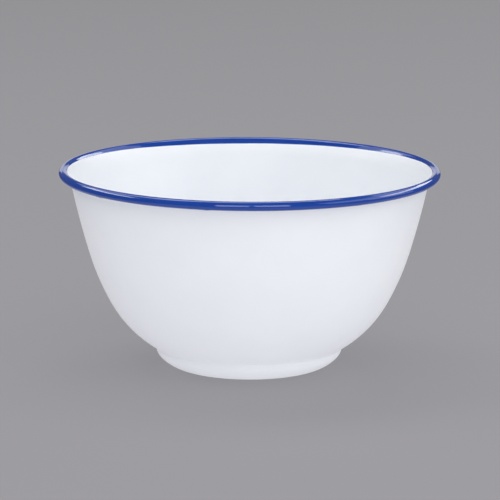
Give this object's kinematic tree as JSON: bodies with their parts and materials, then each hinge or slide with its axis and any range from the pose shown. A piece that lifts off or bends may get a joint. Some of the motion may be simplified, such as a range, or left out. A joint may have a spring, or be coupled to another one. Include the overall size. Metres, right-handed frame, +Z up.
{
  "type": "enamel basin bowl",
  "caption": "Deep round enamelled steel basin bowl, white inside and out, with a blue rolled rim and a low pressed foot, for mixing, washing and serving.",
  "frame": {"origin": "on the bowl's axis, in the plane of the standing ring, so it rests on z = 0", "axes": "+Z up the bowl's axis, out of its mouth; X and Y are alike, because the bowl is turned"},
  "size_m": [0.26, 0.26, 0.1372],
  "materials": {
    "steel": "cold-rolled sheet, pickled before enamelling, all covered",
    "ground_enamel": "dark blue-black ground enamel, covered",
    "white_enamel": "glossy cool white vitreous enamel with a slight orange peel",
    "blue_enamel": "glossy cobalt blue vitreous enamel, brushed on by hand"
  },
  "bodies": {
    "root": {"steel_shell": "steel", "inner_ground_coat": "ground_enamel", "outer_ground_coat": "ground_enamel", "inner_white_coat": "white_enamel", "outer_white_coat": "white_enamel", "blue_rim_coat": "blue_enamel"}
  },
  "joints": []
}
